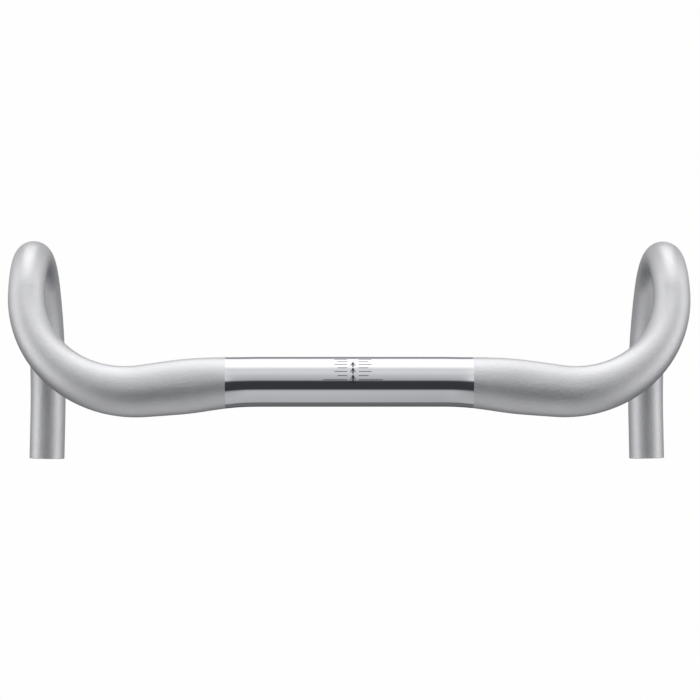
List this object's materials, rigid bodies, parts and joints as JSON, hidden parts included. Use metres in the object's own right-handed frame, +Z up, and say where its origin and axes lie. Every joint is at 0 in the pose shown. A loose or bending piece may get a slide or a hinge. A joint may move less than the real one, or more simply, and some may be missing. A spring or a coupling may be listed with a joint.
{
  "type": "bicycle drop handlebar",
  "caption": "Bare aluminium bicycle drop handlebar with a polished stem-clamp zone, flattened swept tops, compact hooks and a printed centring scale.",
  "frame": {"origin": "centre of the stem clamp, on the axis of the 31.8 mm clamp zone", "axes": "+X to the rider's right along the clamp axis, +Y forward along the reach, +Z up"},
  "size_m": [0.4436, 0.1465, 0.1559],
  "materials": {
    "polished_aluminium": "brightly polished",
    "satin_aluminium": "bead-blasted satin",
    "black_ink": "printed ink"
  },
  "bodies": {
    "root": {"clamp_zone": "polished_aluminium", "left_top": "satin_aluminium", "right_top": "satin_aluminium", "left_shoulder": "satin_aluminium", "right_shoulder": "satin_aluminium", "left_hook": "satin_aluminium", "right_hook": "satin_aluminium", "left_lower_hook": "satin_aluminium", "right_lower_hook": "satin_aluminium", "left_drop": "satin_aluminium", "right_drop": "satin_aluminium", "left_tick_1": "black_ink", "right_tick_1": "black_ink", "left_tick_2": "black_ink", "right_tick_2": "black_ink", "left_tick_3": "black_ink", "right_tick_3": "black_ink", "left_tick_4": "black_ink", "right_tick_4": "black_ink", "left_tick_5": "black_ink", "right_tick_5": "black_ink", "left_tick_6": "black_ink", "right_tick_6": "black_ink", "left_tick_7": "black_ink", "right_tick_7": "black_ink", "centre_arrow_1": "black_ink", "centre_arrow_2": "black_ink", "centre_arrow_3": "black_ink", "base_bar": "black_ink", "front_dot": "black_ink"}
  },
  "joints": []
}
